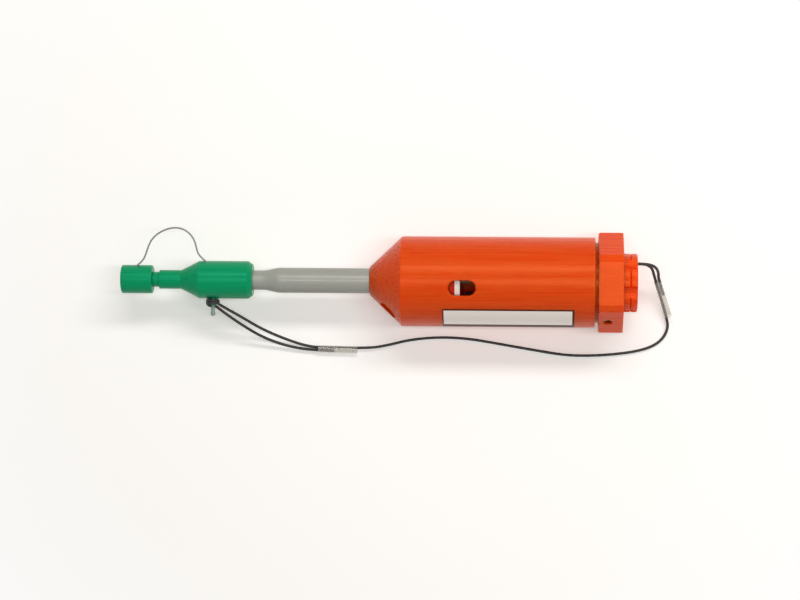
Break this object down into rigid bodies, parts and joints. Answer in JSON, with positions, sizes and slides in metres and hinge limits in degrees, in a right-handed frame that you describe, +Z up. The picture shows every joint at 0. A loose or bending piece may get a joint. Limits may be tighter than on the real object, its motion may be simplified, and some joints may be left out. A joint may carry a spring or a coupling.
{
  "type": "fibre connector cleaning pen",
  "caption": "Push-type fibre connector cleaning pen: hexagonal-capped body with sight window, long nozzle, guide cap, tethered dust cap and wrist strap.",
  "frame": {"origin": "on the table, under the middle of the pen, which lies on its side", "axes": "+X along the pen towards the refill plug, -X towards the dust cap, +Z up"},
  "size_m": [0.1841, 0.043, 0.03],
  "materials": {
    "orange_plastic": "fine matte, moulded",
    "green_plastic": "satin, moulded",
    "grey_plastic": "satin",
    "dark_plastic": "matte",
    "white_plastic": "satin",
    "white_ceramic": "polished",
    "clear_plastic": "frosted clear",
    "steel": "bright",
    "black_steel": "blackened",
    "label_film": "satin film, blank",
    "black_rubber": "matte",
    "black_cord": "fine braid",
    "grey_filament": "smooth",
    "white_thread": "fine lint-free thread"
  },
  "bodies": {
    "housing": {"housing": "orange_plastic", "nose_bush": "white_plastic", "label_plate": "label_film", "end_cap": "orange_plastic", "cap_set_screw": "black_steel", "spring_seat": "dark_plastic", "drive_rack": "dark_plastic", "strap_sleeve_rear": "clear_plastic", "strap_cord": "black_cord", "return_spring": "steel"},
    "refill_plug": {"refill_plug": "orange_plastic", "plug_seal": "black_rubber", "strap_loop_rear": "black_cord"},
    "carriage": {"nozzle": "grey_plastic", "nozzle_tip": "steel", "cleaning_head": "white_plastic", "cleaning_thread": "white_thread", "carriage": "dark_plastic", "index_ring": "white_plastic", "supply_axle": "steel", "ratchet_pawl": "steel", "strap_sleeve_front": "clear_plastic"},
    "take_up": {"take_up_reel": "dark_plastic", "used_winding": "white_thread", "take_up_axle": "steel", "drive_pinion": "white_plastic", "ratchet_wheel": "white_plastic"},
    "supply": {"supply_reel": "dark_plastic", "fresh_winding": "white_thread"},
    "guide_cap": {"guide_cap": "green_plastic", "ferrule_sleeve": "white_ceramic", "tether_anchor": "clear_plastic", "strap_hitch": "black_cord", "strap_strand_upper": "black_cord", "strap_strand_lower": "black_cord"},
    "dust_cap": {"dust_cap": "green_plastic", "cap_tether": "grey_filament"}
  },
  "joints": [
    {"name": "nozzle_push", "type": "slide", "parent": "housing", "child": "carriage", "axis": [1, 0, 0], "range_m": [0, 0.005], "stiffness_N_per_m": 400, "springref_m": -0.005, "deforming": ["return_spring", "strap_cord"]},
    {"name": "take_up_turn", "type": "hinge", "parent": "carriage", "child": "take_up", "pos_m": [0.03705, 0, 0.015], "axis": [0, 1, 0], "range_deg": [-1, 97], "deforming": ["ratchet_pawl"]},
    {"name": "supply_turn", "type": "hinge", "parent": "carriage", "child": "supply", "pos_m": [0.05455, 0, 0.015], "axis": [0, 1, 0], "range_deg": [-1, 50]},
    {"name": "guide_cap_off", "type": "slide", "parent": "carriage", "child": "guide_cap", "axis": [-1, 0, 0], "range_m": [0, 0.012], "deforming": ["strap_strand_upper", "strap_strand_lower"]},
    {"name": "dust_cap_off", "type": "slide", "parent": "guide_cap", "child": "dust_cap", "axis": [-1, 0, 0], "range_m": [0, 0.009], "deforming": ["cap_tether"]},
    {"name": "plug_turn", "type": "hinge", "parent": "housing", "child": "refill_plug", "pos_m": [0.08145, 0, 0.015], "axis": [1, 0, 0], "range_deg": [0, 90], "deforming": ["strap_loop_rear"]}
  ],
  "couplings": [
    {"joint": "take_up_turn", "follows": "nozzle_push", "rad_per_m": 333.33},
    {"joint": "supply_turn", "follows": "nozzle_push", "rad_per_m": 168.66}
  ]
}
